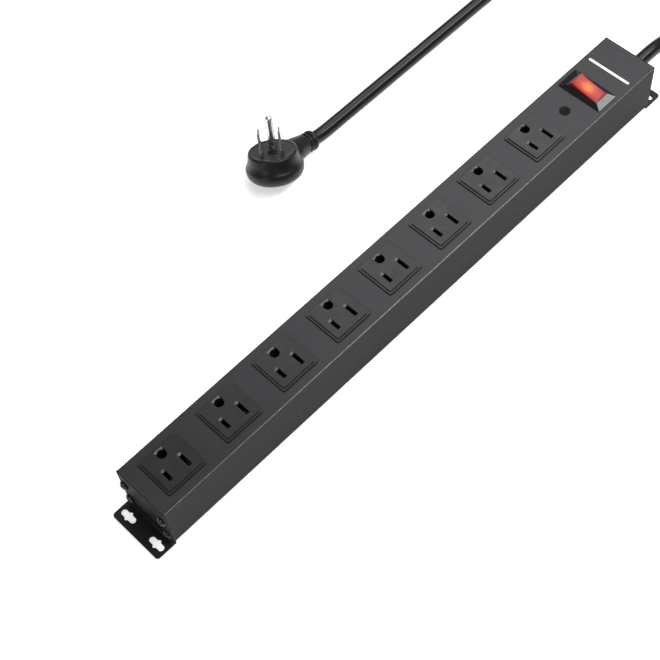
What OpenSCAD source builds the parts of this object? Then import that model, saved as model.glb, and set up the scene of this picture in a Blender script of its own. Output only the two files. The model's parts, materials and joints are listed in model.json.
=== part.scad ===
// Surface-mount power strip: a two-piece square metal casing with eight grounded outlets,
// a lighted rocker switch, a push-to-reset breaker, flanged end brackets and a flat-plug cord.
//
// Frame: origin at the centre of the underside. +X runs along the strip to the cord end,
// +Y points to the side of the ground holes, +Z comes out of the outlet face.

/* [Casing] */
// Length of the casing over both end brackets
body_len = 406.4; // [404:0.2:430]
// Width and height of the square section
body_w = 38.1; // [38:0.1:39]
// Wall thickness of the two extrusions
wall_t = 1.5; // [1.2:0.1:1.6]
// Outer radius of the two lower long edges
bottom_r = 3.8; // [2:0.1:4.5]
// Outer radius of the two upper long edges
top_r = 0.6; // [0.4:0.1:1.2]
// Height of the joint between the lower and the upper extrusion
seam_z = 19; // [18.6:0.1:19.4]
// Radius of the thread channels for the end screws
channel_r = 1.7; // [1.6:0.05:1.8]

/* [End brackets] */
// Sheet thickness of the brackets
plate_t = 1.2; // [1:0.1:1.5]
// Length of each flange beyond the casing
flange_len = 12.7; // [12:0.1:16]
// Distance between the two slots of a flange
slot_spacing = 23.6; // [22:0.1:24]
// Length of a slot's long arm, across the strip
slot_len = 11; // [9:0.1:12]
// Width of a slot's long arm
slot_w = 3.8; // [3.4:0.1:4.2]
// Height of the lower pair of end screws
screw_low_z = 9; // [8.5:0.1:9]
// Height of the upper pair of end screws
screw_high_z = 26; // [25:0.1:27]
// Distance of the end screws from the centre plane
screw_y = 15.3; // [15.2:0.05:15.4]

/* [Outlets] */
// Number of outlets
outlet_count = 8; // [8:1:8]
// Distance between neighbouring outlets
outlet_pitch = 41.9; // [34:0.1:42]
// Distance of the first outlet from the near end of the casing
first_outlet = 23.3; // [20:0.1:24]
// Side of the square outlet bezel
bezel_w = 26; // [25.6:0.1:26.6]
// Height of the bezel above the casing
bezel_h = 1.5; // [1:0.1:1.8]
// Distance of the two blade slots from each other
blade_spacing = 12.7; // [12.7:0.1:12.7]
// Offset of the blade slots from the outlet centre, away from the ground hole
blade_y = 4.13; // [4:0.01:4.2]
// Distance of the ground hole from the line of the blade slots
ground_offset = 11.9; // [11.9:0.1:11.9]

/* [Switch and breaker] */
// Distance of the switch from the cord end of the casing
switch_inset = 41.5; // [41:0.1:42]
// Tilt of the rocker on each side of level
rocker_tilt = 10; // [8:0.5:10]
// Distance of the breaker from the cord end of the casing
breaker_inset = 62.3; // [62:0.1:62.8]
// Radius of the breaker's neck in the casing
neck_r = 3.3; // [3.2:0.1:3.8]
// Travel of the reset button when the breaker trips
trip_travel = 2.5; // [1.5:0.1:2.5]

/* [Cord and plug] */
// Length of cord between the casing and the plug
cord_len = 910; // [860:10:1500]
// Radius of the cord
cord_r = 4.5; // [4:0.1:4.5]
// Distance of the returning cord from the strip's centre line
plug_y = 119; // [110:0.5:140]
// Position of the plug along the strip
plug_x = 7; // [-20:0.5:30]
// Radius of the plug's round body
plug_r = 18.5; // [18.3:0.1:20]
// Sideways lean of the resting plug
plug_roll = 18.7; // [18:0.1:19]
// Dip of the plug's neck towards the floor
plug_dip = 15.3; // [15:0.1:15.6]

/* [Hidden] */
$fn = 48;

body_h = body_w;
near_x = -body_len / 2;
far_x = body_len / 2;
extrusion_len = body_len - 2 * plate_t;
face_z = body_h + bezel_h;                 // plug side of the outlet faces
ground_y = ground_offset - blade_y;
switch_x = far_x - switch_inset;
breaker_x = far_x - breaker_inset;
running_gap = 0.06;                        // radial clearance of turning and sliding fits
fit_gap = 0.1;                             // clearance of parts that only sit in each other

// Outlet body and the pockets for the contact clips
outlet_w = 24.4;
outlet_hole_w = outlet_w + 0.4;
outlet_bottom_z = 16.5;
face_t = 3.2;
hot_slot = [2.5, 6.8];
neutral_slot = [2.5, 8.6];
ground_hole_r = 2.9;
ground_flat_y = 2.2;                       // flat side of the ground hole, from its centre
lead_in = [1.4, 0.65];                     // run and depth of the ramp into each opening

// Bus bars
bus_t = 0.8;
bus_z = 15.3;
bus_start = near_x + first_outlet - 10;
bus_end = near_x + first_outlet + outlet_pitch * (outlet_count - 1) + 19;
clip_gap = 1.7;                            // as held open by a blade
clip_t = 0.5;
clip_top_z = 33;
pin_clip_gap = 4.9;
pin_clip_top_z = 31;

// Switch
pivot_z = body_h - 2.5;
rocker_w = 9.6;
rocker_r = 11.6;                           // end faces of the rocker, about its pivot
rocker_rise = 6.2;                         // finger face above the pivot
trunnion_r = 1.2;
arm_z = 20.6;                              // pivot line of the contact arm
arm_tilt = 0.75 * rocker_tilt;
tab_w = 6.3;
tab_t = 0.8;
switch_floor_z = 15;
switch_tab_y = 9;                          // outer terminals, either side of the middle one
plunger_reach = 12.4;                      // centre of the plunger's round tip below the pivot
plunger_r = 1.5;
knuckle_r = 0.75;                          // round foot on which the contact arm rocks
contact_pad_r = 1.5;

// Breaker
button_r = neck_r - 0.88;
button_flange_z = 31.5;
spring_seat_z = 24;
breaker_floor_z = 16.5;
breaker_tab_y = 7;
breaker_tab_top_z = 20;

// Ground bond between the ground bar and the casing
bond_x = bus_end - 11.5;
bond_y = 8.25;
strap_t = 0.8;
m3_shank_r = 1.62;
m3_hole_r = 1.95;

// Cord path: out of the strip, down to the floor, round and back to the plug
cord_z = body_h / 2;
cord_start_x = far_x - 13;
relief_hole_r = 6;
wire_r = 1.5;
wire_low_z = 4.2;                          // wires lying on the casing's floor
bend_swell = 1.02;                         // a ball this much thicker joins the cord's lengths
rest_z = cord_r * bend_swell;              // axis of the cord where it lies on the floor
drop_r = 60;
drop_angle = acos(1 - (cord_z - rest_z) / (2 * drop_r));
drop_x = far_x + 20;
floor_x = drop_x + 2 * drop_r * sin(drop_angle);
turn_r = plug_y / 2;
neck_len = 34;
plug_lean = acos(cos(plug_roll) * cos(plug_dip));
plug_back = -11;
plug_face = 8;
plug_back_r = 7;                           // fillet on which the leaning plug rests
floor_gap = 0.05;
plug_z = floor_gap + plug_back_r - (plug_back + plug_back_r) * cos(plug_lean)
    + (plug_r - plug_back_r) * sin(plug_lean);
lift_r = (plug_z - neck_len * sin(plug_dip) - rest_z) / (1 - cos(plug_dip));
lift_x = plug_x + neck_len * cos(plug_dip) + lift_r * sin(plug_dip);
arc_unit = PI / 180;
bend_len = arc_unit * (2 * drop_r * drop_angle + 180 * turn_r + lift_r * plug_dip);
turn_x = (cord_len - bend_len - (drop_x - far_x) + floor_x + lift_x) / 2;

// Plug
plug_face_r = 15.8;
prong_angle = 45;                          // turn of the prongs from the cord's direction
prong_v = -6;                              // line of the blades
prong_root = -3;                           // inner ends of the prongs
cord_root = 14.6;                          // inner end of the cord, from the plug's centre
blade_len = 17.5;
pin_len = 20.6;
pin_r = 2.39;
pin_root_r = 2.58;
pin_root_h = 0.5;
blade = [1.5, 6.35];

function outlet_x(i) = near_x + first_outlet + outlet_pitch * i;

// ---------------------------------------------------------------- helpers

// Rectangle with round corners
module round_rect(size, r) {
    for (sx = [-1, 1], sy = [-1, 1])
        translate([sx * (size.x / 2 - r), sy * (size.y / 2 - r)]) circle(r);
    square([size.x - 2 * r, size.y], center = true);
    square([size.x, size.y - 2 * r], center = true);
}

// Slab between two heights from a centred rectangle
module slab(size, z0, z1) {
    translate([-size.x / 2, -size.y / 2, z0]) cube([size.x, size.y, z1 - z0]);
}

// Extrusion along X of a profile drawn in Y and Z
module along_x(x0, x1) {
    translate([x0, 0, 0]) rotate([90, 0, 90]) linear_extrude(x1 - x0) children();
}

// Extrusion along Y of a profile drawn in X and Z
module along_y(y0, y1) {
    translate([0, y1, 0]) rotate([90, 0, 0]) linear_extrude(y1 - y0) children();
}

// Stands children on point a, with their Z axis towards point b
module aimed(a, b) {
    d = b - a;
    translate(a) rotate([0, acos(d.z / norm(d)), atan2(d.y, d.x)]) children();
}

// Round rod between two points
module rod(a, b, r) {
    aimed(a, b) cylinder(h = norm(b - a), r = r);
}

// Insulated wire through a list of points, slightly swollen at its bends
module wire_run(points, r = wire_r, swell = 1.05) {
    for (i = [0 : len(points) - 2]) rod(points[i], points[i + 1], r);
    for (i = [1 : len(points) - 2]) aimed(points[i], points[i + 1]) sphere(r * swell);
}

// Upright coil spring of round wire
module coil(coil_r, wire, height, turns) {
    per_turn = 16;
    sides = 8;
    steps = turns * per_turn;
    points = [
        for (i = [0 : steps], j = [0 : sides - 1])
            let (a = 360 * i / per_turn, b = 360 * j / sides, reach = coil_r + wire * cos(b))
                [reach * cos(a), reach * sin(a),
                 wire + (height - 2 * wire) * i / steps + wire * sin(b)]
    ];
    sleeve = [
        for (i = [0 : steps - 1], j = [0 : sides - 1])
            let (a = i * sides + j, b = i * sides + (j + 1) % sides) [a, b, b + sides, a + sides]
    ];
    ends = [[for (j = [sides - 1 : -1 : 0]) j], [for (j = [0 : sides - 1]) steps * sides + j]];
    polyhedron(points, concat(sleeve, ends));
}

// ---------------------------------------------------------------- casing

// Outline of the whole casing in Y and Z, moved in by an inset
module casing_outline(inset = 0) {
    half = body_w / 2 - inset;
    low_r = bottom_r - inset;
    high_r = max(top_r - inset, 0.1);
    low = inset;
    high = body_h - inset;
    for (s = [-1, 1]) {
        translate([s * (half - low_r), low + low_r]) circle(low_r);
        translate([s * (half - high_r), high - high_r]) circle(high_r);
    }
    translate([-half + low_r, low]) square([2 * (half - low_r), high - low]);
    translate([-half + high_r, low + low_r]) square([2 * (half - high_r), high - low - low_r]);
    translate([-half, low + low_r]) square([2 * half, high - low - low_r - high_r]);
}

// Wall of the casing between two heights, with a pair of thread channels on its sides
module casing_profile(z0, z1, channel_z) {
    channel_wall = 1.15;
    difference() {
        union() {
            difference() {
                intersection() {
                    casing_outline();
                    translate([-body_w, z0]) square([2 * body_w, z1 - z0]);
                }
                casing_outline(wall_t);
            }
            for (s = [-1, 1]) translate([s * screw_y, channel_z]) circle(channel_r + channel_wall);
        }
        for (s = [-1, 1]) translate([s * screw_y, channel_z]) circle(channel_r);
    }
}

module upper_extrusion() {
    seam_gap = 0.3;
    color("dimgray") difference() {
        along_x(-extrusion_len / 2, extrusion_len / 2)
            casing_profile(seam_z + seam_gap, body_h + 1, screw_high_z);
        for (i = [0 : outlet_count - 1])
            translate([outlet_x(i), 0, body_h - 5]) linear_extrude(10)
                round_rect([outlet_hole_w, outlet_hole_w], 1);
        translate([breaker_x, 0, body_h - 5]) cylinder(h = 10, r = neck_r + fit_gap);
        translate([switch_x, 0, body_h - 5]) linear_extrude(10) round_rect([13.6, 28.6], 0.5);
    }
}

module lower_extrusion() {
    tongue_gap = 0.1;
    tongue_t = 1.05;
    tongue_out = body_w / 2 - wall_t - tongue_gap;
    ledge_z = [12, 13.1];
    ledge_reach = 2.5;
    bond_hole_z = 0.2;
    color("dimgray") difference() {
        along_x(-extrusion_len / 2, extrusion_len / 2) {
            casing_profile(-1, seam_z, screw_low_z);
            for (s = [0, 1]) mirror([s, 0]) {
                // tongue that locates the upper extrusion, and its foot on the wall
                translate([tongue_out - tongue_t, seam_z - 2.5]) square([tongue_t, 4.5]);
                translate([tongue_out - tongue_t, seam_z - 2.5]) square([tongue_t + 0.5, 1.5]);
                // ledge that carries the bus bar tray
                translate([body_w / 2 - wall_t - ledge_reach, ledge_z[0]])
                    square([ledge_reach + 0.5, ledge_z[1] - ledge_z[0]]);
            }
        }
        translate([bond_x, bond_y, bond_hole_z]) cylinder(h = 5, r = channel_r);
    }
}

// ---------------------------------------------------------------- end brackets

// Opening for one mounting screw: a long arm across the strip and a short one along it
module mounting_slot() {
    cross_arm = [5.8, 2.8];
    linear_extrude(10, center = true) {
        round_rect([slot_w, slot_len], slot_w / 2 - 0.01);
        round_rect(cross_arm, cross_arm.y / 2 - 0.01);
    }
}

// Bracket on the near end: an upright plate with a flange bent outwards at its foot
module bracket() {
    bend_r = 1.4;
    corner_r = 2;
    slot_out = flange_len - 5.9;
    difference() {
        union() {
            along_x(near_x, near_x + plate_t) translate([-body_w / 2, 0]) square([body_w, body_h]);
            linear_extrude(plate_t) {
                for (s = [-1, 1])
                    translate([near_x - flange_len + corner_r, s * (body_w / 2 - corner_r)]) circle(corner_r);
                translate([near_x - flange_len, corner_r - body_w / 2])
                    square([flange_len + plate_t, body_w - 2 * corner_r]);
                translate([near_x - flange_len + corner_r, -body_w / 2])
                    square([flange_len + plate_t - corner_r, body_w]);
            }
            // fillet inside the bend
            along_y(-body_w / 2, body_w / 2) difference() {
                translate([near_x - bend_r, 0]) square([bend_r + 0.5, plate_t + bend_r]);
                translate([near_x - bend_r, plate_t + bend_r]) circle(bend_r);
            }
        }
        for (s = [-1, 1])
            translate([near_x - slot_out, s * slot_spacing / 2, 0]) mounting_slot();
        for (s = [-1, 1], z = [screw_low_z, screw_high_z])
            translate([near_x - 1, s * screw_y, z]) rotate([0, 90, 0]) cylinder(h = 5, r = m3_hole_r);
    }
}

module near_end_bracket() {
    color([0.16, 0.16, 0.17]) bracket();
}

module far_end_bracket() {
    color([0.16, 0.16, 0.17]) difference() {
        mirror([1, 0, 0]) bracket();
        translate([far_x - 5, 0, cord_z]) rotate([0, 90, 0]) cylinder(h = 10, r = relief_hole_r);
    }
}

// Pan-head screw with a cross recess: its shank points along +X from the plane of its head
module end_screw() {
    head_r = 3.1;
    head_h = 2.3;
    edge_h = 0.5;                              // upright edge below the dome
    dome_r = (head_r * head_r + head_h * head_h) / (2 * head_h);
    shank_len = 10;
    recess = [1.6, 3.4, 0.8];
    difference() {
        union() {
            rotate([0, -90, 0]) intersection() {
                cylinder(h = head_h, r = head_r);
                translate([0, 0, head_h - dome_r - edge_h]) sphere(dome_r + edge_h);
            }
            rotate([0, 90, 0]) cylinder(h = shank_len, r = m3_shank_r);
        }
        for (turn = [0, 90]) rotate([turn, 0, 0])
            translate([-head_h - 0.4, -recess.y / 2, -recess.z / 2]) cube(recess);
    }
}

module end_screw_set() {
    for (s = [-1, 1], z = [screw_low_z, screw_high_z])
        translate([near_x, s * screw_y, z]) rotate([25 * s + 3 * z, 0, 0]) end_screw();
}

module near_end_screws() {
    color("silver") end_screw_set();
}

module far_end_screws() {
    color("silver") mirror([1, 0, 0]) end_screw_set();
}

// ---------------------------------------------------------------- outlets

// Ground hole: round towards the blades, flat on the far side
module ground_hole_shape() {
    circle(ground_hole_r);
    translate([-ground_hole_r, 0]) square([2 * ground_hole_r, ground_flat_y]);
}

// Ramp that leads a prong in, from the face down to an opening's edge at y
module lead_in_ramp(x, w, y) {
    overlap = 0.3;
    along_x(x - w / 2, x + w / 2) polygon([
        [y - overlap, face_z - lead_in.y], [y, face_z - lead_in.y], [y + lead_in.x, face_z],
        [y + lead_in.x, face_z + 1], [y - overlap, face_z + 1]
    ]);
}

module outlet(i) {
    step_in = 1.35;
    snap = [0.9, 6, 1.6];
    color([0.14, 0.14, 0.15]) translate([outlet_x(i), 0, 0]) difference() {
        union() {
            translate([0, 0, outlet_bottom_z]) linear_extrude(body_h + 0.1 - outlet_bottom_z)
                round_rect([outlet_w, outlet_w], 0.8);
            translate([0, 0, body_h]) linear_extrude(bezel_h / 2)
                round_rect([bezel_w, bezel_w], 1);
            translate([0, 0, body_h]) linear_extrude(bezel_h)
                round_rect([bezel_w - 2 * step_in, bezel_w - 2 * step_in], 0.9);
            // snap noses under the casing's skin
            for (s = [-1, 1])
                translate([s * (outlet_w / 2) - snap.x / 2, -snap.y / 2, body_h - wall_t - 0.1 - snap.z])
                    cube(snap);
        }
        // openings in the face
        translate([0, 0, face_z - face_t - 1]) linear_extrude(face_t + 2) {
            translate([-blade_spacing / 2, -blade_y]) square(hot_slot, center = true);
            translate([blade_spacing / 2, -blade_y]) square(neutral_slot, center = true);
            translate([0, ground_y]) ground_hole_shape();
        }
        lead_in_ramp(-blade_spacing / 2, hot_slot.x, hot_slot.y / 2 - blade_y);
        lead_in_ramp(blade_spacing / 2, neutral_slot.x, neutral_slot.y / 2 - blade_y);
        lead_in_ramp(0, 2 * ground_hole_r, ground_y + ground_flat_y);
        // pockets for the contact clips
        blade_pocket = [5.2, 9.8, face_z - face_t - outlet_bottom_z + 1];
        pin_pocket = [7.8, 6.4, blade_pocket.z];
        translate([0, 0, outlet_bottom_z - 1]) {
            for (s = [-1, 1])
                translate([s * blade_spacing / 2 - blade_pocket.x / 2, 0.9 - blade_pocket.y, 0])
                    cube(blade_pocket);
            translate([-pin_pocket.x / 2, ground_y - 0.03 - pin_pocket.y / 2, 0]) cube(pin_pocket);
        }
    }
}

module outlet_1() outlet(0);
module outlet_2() outlet(1);
module outlet_3() outlet(2);
module outlet_4() outlet(3);
module outlet_5() outlet(4);
module outlet_6() outlet(5);
module outlet_7() outlet(6);
module outlet_8() outlet(7);

// ---------------------------------------------------------------- bus bars

module bus_carrier() {
    tray_w = 32.4;
    tray_t = 2;
    rib_h = 0.9;
    color("lightgray") {
        translate([bus_start - 3, -tray_w / 2, bus_z - 0.1 - tray_t])
            cube([bus_end - bus_start - 3, tray_w, tray_t]);
        // ribs that keep the bars apart, at the ends of the tray
        for (y = [-14.6, 14.3])
            translate([bus_start - 3, y, bus_z - 0.5])
                cube([bus_end - bus_start - 3, 0.5, rib_h]);
    }
}

// Two sprung leaves that grip a blade or a pin, rising from the bar's level
module clip(gap, y0, y1, top_z) {
    flare = 0.6;
    along_y(y0, y1) for (s = [0, 1]) mirror([s, 0])
        polygon([
            [gap / 2, bus_z], [gap / 2 + clip_t, bus_z], [gap / 2 + clip_t, top_z - 1.5],
            [gap / 2 + clip_t + flare, top_z], [gap / 2 + flare, top_z], [gap / 2, top_z - 1.5]
        ]);
}

// Bar along the strip with a tab and a clip at every outlet
module bus(bar_y, tab_y, tab_w, clip_x, clip_y, gap, top_z) {
    translate([bus_start, bar_y[0], bus_z])
        cube([bus_end - bus_start, bar_y[1] - bar_y[0], bus_t]);
    for (i = [0 : outlet_count - 1]) translate([outlet_x(i) + clip_x, 0, 0]) {
        translate([-tab_w / 2, tab_y[0], bus_z]) cube([tab_w, tab_y[1] - tab_y[0], bus_t]);
        clip(gap, clip_y[0], clip_y[1], top_z);
    }
}

module hot_bus() {
    color("gold") bus([-13, -9.5], [-10, -1], 3.8, -blade_spacing / 2, [-7.9, -1],
        clip_gap, clip_top_z);
}

module neutral_bus() {
    color("gold") {
        bus([0.8, 3.8], [-7.9, 1.2], 3.8, blade_spacing / 2, [-7.9, -0.6], clip_gap, clip_top_z);
        translate([bus_end - 0.5, 0.8, bus_z]) cube([3, 3, bus_t]);
    }
}

module ground_bus() {
    color("gold") {
        bus([11.3, 14], [5.6, 11.8], 6.6, 0, [5.6, 9.9], pin_clip_gap, pin_clip_top_z);
        translate([bus_end - 4.5, 6, bus_z]) cube([4.5, 6, bus_t]);
    }
}

// Strap from the ground bar down to the casing's floor
module bond_strap() {
    strap_w = 4.5;
    riser_x = bus_end - 4.2;
    eye_r = 4;
    color("goldenrod") difference() {
        union() {
            translate([riser_x, bond_y - strap_w / 2, wall_t]) cube([strap_t, strap_w, bus_z - wall_t]);
            translate([bond_x, bond_y - strap_w / 2, wall_t]) cube([riser_x - bond_x, strap_w, strap_t]);
            translate([bond_x, bond_y, wall_t]) cylinder(h = strap_t, r = eye_r);
        }
        translate([bond_x, bond_y, 0]) cylinder(h = 5, r = m3_hole_r);
    }
}

module bond_screw() {
    head_z = wall_t + strap_t;
    head_r = 3.4;
    head_h = 2.2;
    tip_z = 0.4;
    color("limegreen") translate([bond_x, bond_y, 0]) difference() {
        union() {
            translate([0, 0, tip_z]) cylinder(h = head_z - tip_z, r = m3_shank_r);
            translate([0, 0, head_z]) cylinder(h = head_h, r = head_r);
        }
        translate([-2.2, -0.4, head_z + 1.2]) cube([4.4, 0.8, 2]);
    }
}

// ---------------------------------------------------------------- switch

// Frame with four sloping sides round the rocker
module switch_frame() {
    frame = [16.4, 32];
    frame_h = 2;
    edge_h = 0.3;
    slope = [3, 4.6];
    intersection() {
        along_y(-frame.y / 2, frame.y / 2) polygon([
            [-frame.x / 2, body_h], [frame.x / 2, body_h], [frame.x / 2, body_h + edge_h],
            [frame.x / 2 - slope.x, body_h + frame_h], [-frame.x / 2 + slope.x, body_h + frame_h],
            [-frame.x / 2, body_h + edge_h]
        ]);
        along_x(-frame.x / 2, frame.x / 2) polygon([
            [-frame.y / 2, body_h], [frame.y / 2, body_h], [frame.y / 2, body_h + edge_h],
            [frame.y / 2 - slope.y, body_h + frame_h], [-frame.y / 2 + slope.y, body_h + frame_h],
            [-frame.y / 2, body_h + edge_h]
        ]);
    }
}

// Slot in the switch floor for one terminal tab
module tab_slot(y) {
    translate([0, y, 0])
        slab([tab_w + 2 * fit_gap, tab_t + 2 * fit_gap], switch_floor_z - 1, switch_floor_z + 3);
}

module switch_housing() {
    shell = [13.2, 28.2];
    waist_y = 24;                              // width below the top, between the thread channels
    waist_z = 29.8;
    well_w = rocker_w + 0.3;
    chamber_y = 21;
    color([0.08, 0.08, 0.08]) translate([switch_x, 0, 0]) difference() {
        union() {
            slab([shell.x, waist_y], switch_floor_z, waist_z + 1);
            slab(shell, waist_z, body_h + 0.1);
            switch_frame();
        }
        // well for the rocker's swing, and the chamber below it
        translate([0, 0, pivot_z]) rotate([0, 90, 0])
            cylinder(h = well_w, r = rocker_r + 0.15, center = true);
        slab([well_w, chamber_y], switch_floor_z + 1.2, pivot_z);
        // bearings of the rocker
        translate([0, 0, pivot_z]) rotate([0, 90, 0])
            cylinder(h = shell.x + 2, r = trunnion_r + running_gap, center = true);
        for (s = [-1, 0, 1]) tab_slot(s * switch_tab_y);
    }
}

// Parts that tilt with the rocker are drawn level about the pivot and turned to the on position
module rocker_pose() {
    translate([switch_x, 0, pivot_z]) rotate([rocker_tilt, 0, 0]) children();
}

module switch_rocker() {
    skin = 1.2;
    skirt_z = -3.5;
    hollow = [rocker_w - 2 * skin, 19];
    hollow_top = 4.4;
    dish_r = 120;
    dish_depth = 0.5;
    stem_r = 2.5;
    stem_len = 8;
    trunnion_span = 12.6;
    color([0.8, 0.1, 0.08]) rocker_pose() difference() {
        union() {
            difference() {
                intersection() {
                    rotate([0, 90, 0]) cylinder(h = rocker_w, r = rocker_r, center = true);
                    slab([rocker_w, 2 * rocker_r], skirt_z, rocker_rise);
                }
                // slightly hollow finger face
                translate([0, 0, rocker_rise - dish_depth + dish_r]) rotate([0, 90, 0])
                    cylinder(h = rocker_w + 2, r = dish_r, center = true, $fn = 360);
                slab(hollow, skirt_z - 1, hollow_top);
            }
            slab([rocker_w - 1, 6], -1, 0.4);
            translate([0, 0, -stem_len - 0.5]) cylinder(h = stem_len, r = stem_r);
            rotate([0, 90, 0]) cylinder(h = trunnion_span, r = trunnion_r, center = true);
        }
        translate([0, 0, -stem_len - 1]) cylinder(h = stem_len, r = plunger_r + running_gap);
    }
}

module switch_lamp() {
    bulb_r = 1.45;
    bulb_len = 7;
    color("orange") rocker_pose() translate([0, 0, trunnion_r + bulb_r + 0.05]) rotate([90, 0, 0]) {
        translate([0, 0, -bulb_len / 2]) cylinder(h = bulb_len, r = bulb_r);
        translate([0, 0, bulb_len / 2]) sphere(bulb_r);
    }
}

module switch_plunger() {
    plunger_len = 7.4;
    color("ivory") rocker_pose() translate([0, 0, -plunger_reach]) {
        cylinder(h = plunger_len, r = plunger_r);
        sphere(plunger_r);
    }
}

module switch_spring() {
    color("silver") rocker_pose() translate([0, 0, -4.95]) coil(1.05, 0.25, 3.9, 4);
}

// Rocks on the middle terminal, the other way to the rocker
module switch_contact_arm() {
    arm = [6, 18, 0.8];
    color("peru") translate([switch_x, 0, arm_z]) rotate([-arm_tilt, 0, 0]) {
        translate([-arm.x / 2, -arm.y / 2, 0]) cube(arm);
        rotate([0, 90, 0]) cylinder(h = arm.x, r = knuckle_r, center = true);
        translate([0, 7.5, -0.6]) cylinder(h = 0.7, r = contact_pad_r);
    }
}

module terminal_tab(y, top_z) {
    tab_foot_z = 8;
    translate([0, y, 0]) slab([tab_w, tab_t], tab_foot_z, top_z);
}

module switch_line_terminal() {
    shelf_z = 18.1;
    color("gold") translate([switch_x, 0, 0]) {
        terminal_tab(switch_tab_y, shelf_z);
        translate([-tab_w / 2, 5.6, shelf_z - tab_t]) cube([tab_w, switch_tab_y - 5.6, tab_t]);
        translate([0, 7.4, shelf_z - 0.1]) cylinder(h = 0.65, r = contact_pad_r);
    }
}

module switch_load_terminal() {
    color("gold") translate([switch_x, 0, 0]) terminal_tab(0, arm_z - knuckle_r - 0.05);
}

module switch_lamp_terminal() {
    color("gold") translate([switch_x, 0, 0]) terminal_tab(-switch_tab_y, switch_floor_z + 2.2);
}

// ---------------------------------------------------------------- breaker

module breaker_housing() {
    shell = [14, 23];
    wall = 1.2;
    top_z = body_h - wall_t - 0.1;
    color([0.1, 0.1, 0.1]) translate([breaker_x, 0, 0]) difference() {
        union() {
            slab(shell, breaker_floor_z, top_z);
            cylinder(h = body_h + 0.4, r = neck_r);
        }
        difference() {
            slab([shell.x - 2 * wall, shell.y - 2 * wall], breaker_floor_z + wall, top_z - wall);
            // shelf under the button's spring
            slab([shell.x, 8], spring_seat_z - 1.5, spring_seat_z);
        }
        translate([0, 0, spring_seat_z + 1]) cylinder(h = 30, r = button_r + running_gap);
        translate([0, 0, -1]) slab([shell.x, shell.y], 0, breaker_floor_z + 1);
        for (s = [-1, 1]) translate([0, breaker_tab_y * s, 0])
            slab([tab_w + 2 * fit_gap, tab_t + 2 * fit_gap], breaker_floor_z - 1, breaker_floor_z + 2);
    }
}

module reset_button() {
    dish_r = 6;
    dish_depth = 0.35;
    foot_h = 1.2;
    foot_reach = 1.2;
    top_z = body_h + 0.5;
    color([0.2, 0.2, 0.21]) translate([breaker_x, 0, 0]) difference() {
        union() {
            translate([0, 0, button_flange_z]) cylinder(h = foot_h, r = button_r + foot_reach);
            translate([0, 0, button_flange_z]) cylinder(h = top_z - button_flange_z, r = button_r);
        }
        translate([0, 0, top_z - dish_depth + dish_r]) sphere(dish_r);
    }
}

module button_spring() {
    end_gap = 0.02;
    color("silver") translate([breaker_x, 0, spring_seat_z + end_gap])
        coil(2, 0.3, button_flange_z - spring_seat_z - 2 * end_gap, 5);
}

module breaker_bimetal() {
    strip = [5, 17.2, 0.6];
    color("peru") translate([breaker_x - strip.x / 2, -strip.y / 2, breaker_tab_top_z + 0.1]) cube(strip);
}

module breaker_terminals() {
    color("gold") translate([breaker_x, 0, 0]) for (s = [-1, 1])
        translate([0, breaker_tab_y * s, 0]) slab([tab_w, tab_t], 9, breaker_tab_top_z);
}

// ---------------------------------------------------------------- cord

module strain_relief() {
    rim_r = 7.5;
    rim_h = 2;
    nose_r = 6.2;
    nose_h = 1.2;
    sleeve_len = 10;
    nut_r = 7.2;
    nut_h = 3.9;
    color([0.08, 0.08, 0.08]) translate([far_x, 0, cord_z]) rotate([0, 90, 0]) difference() {
        union() {
            cylinder(h = rim_h, r = rim_r);
            translate([0, 0, rim_h]) cylinder(h = nose_h, r1 = rim_r, r2 = nose_r);
            translate([0, 0, -sleeve_len]) cylinder(h = sleeve_len + 1, r = relief_hole_r - 0.05);
            translate([0, 0, -plate_t - nut_h - 0.1]) cylinder(h = nut_h, r = nut_r);
        }
        translate([0, 0, -sleeve_len - 1]) cylinder(h = 20, r = cord_r + 0.05);
    }
}

// Bend in the upright plane from one angle to another, about a centre in X and Z
module upright_bend(x, y, z, r, a0, a1) {
    translate([x, y, z]) rotate([90, 0, 0]) rotate([0, 0, a0])
        rotate_extrude(angle = a1 - a0) translate([r, 0]) circle(cord_r);
}

// Ball between two lengths of cord, with its poles along the cord
module cord_joint(at, ahead) {
    aimed(at, at + ahead) sphere(cord_r * bend_swell);
}

// Point on the cord's axis at a distance from the plug's centre
function plug_point(x) = [plug_x + x * cos(plug_dip), plug_y, plug_z - x * sin(plug_dip)];

module power_cord() {
    ahead = [1, 0, 0];
    lift_points = [
        for (k = [0 : 3]) let (a = 270 - plug_dip * k / 3)
            [lift_x + lift_r * cos(a), plug_y, rest_z + lift_r * (1 + sin(a))]
    ];
    color([0.1, 0.1, 0.1]) {
        rod([cord_start_x, 0, cord_z], [drop_x, 0, cord_z], cord_r);
        cord_joint([drop_x, 0, cord_z], ahead);
        upright_bend(drop_x, 0, cord_z - drop_r, drop_r, 90 - drop_angle, 90);
        cord_joint([(drop_x + floor_x) / 2, 0, (cord_z + rest_z) / 2],
            [cos(drop_angle), 0, -sin(drop_angle)]);
        upright_bend(floor_x, 0, rest_z + drop_r, drop_r, 270 - drop_angle, 270);
        cord_joint([floor_x, 0, rest_z], ahead);
        rod([floor_x, 0, rest_z], [turn_x, 0, rest_z], cord_r);
        cord_joint([turn_x, 0, rest_z], ahead);
        translate([turn_x, turn_r, rest_z]) rotate([0, 0, -90])
            rotate_extrude(angle = 180) translate([turn_r, 0]) circle(cord_r);
        cord_joint([turn_x, plug_y, rest_z], -ahead);
        wire_run(concat([[turn_x, plug_y, rest_z]], lift_points, [plug_point(cord_root)]),
            cord_r, bend_swell);
    }
}

// First two points of a wire that leaves the cord's end, straight out of the jacket
function cord_core(y, z) = [[cord_start_x - 0.1, y, z], [cord_start_x - 4, y, z]];

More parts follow.
